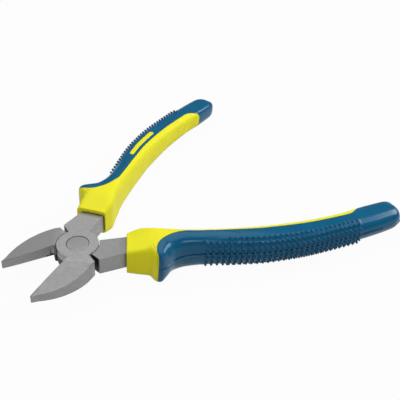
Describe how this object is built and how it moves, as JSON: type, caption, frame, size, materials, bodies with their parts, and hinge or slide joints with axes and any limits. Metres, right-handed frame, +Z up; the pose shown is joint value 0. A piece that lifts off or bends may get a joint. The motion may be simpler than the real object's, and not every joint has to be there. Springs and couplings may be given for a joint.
{
  "type": "side cutters",
  "caption": "Diagonal side cutters: lapped steel jaws turning on a countersunk rivet, with bicolour moulded grips that have a thumb guard and a knobbed outer side.",
  "frame": {"origin": "centre of the rivet's underside, on the pivot axis", "axes": "+X from the pivot towards the handle ends along the line the jaws close on, +Y towards the far handle of the picture, +Z up through the rivet"},
  "size_m": [0.1649, 0.1474, 0.0179],
  "materials": {
    "lever_steel": "satin ground steel",
    "rivet_steel": "smooth ground steel",
    "core_plastic": "satin moulded plastic",
    "sleeve_rubber": "soft satin moulding"
  },
  "bodies": {
    "left_arm": {"left_lever": "lever_steel", "pivot_rivet": "rivet_steel", "left_grip_core": "core_plastic", "left_grip_sleeve": "sleeve_rubber"},
    "right_arm": {"right_lever": "lever_steel", "right_grip_core": "core_plastic", "right_grip_sleeve": "sleeve_rubber"}
  },
  "joints": [
    {"name": "jaw_pivot", "type": "hinge", "parent": "left_arm", "child": "right_arm", "pos_m": [0, 0, 0.00385], "axis": [0, 0, 1], "range_deg": [-43.4, 6]}
  ]
}
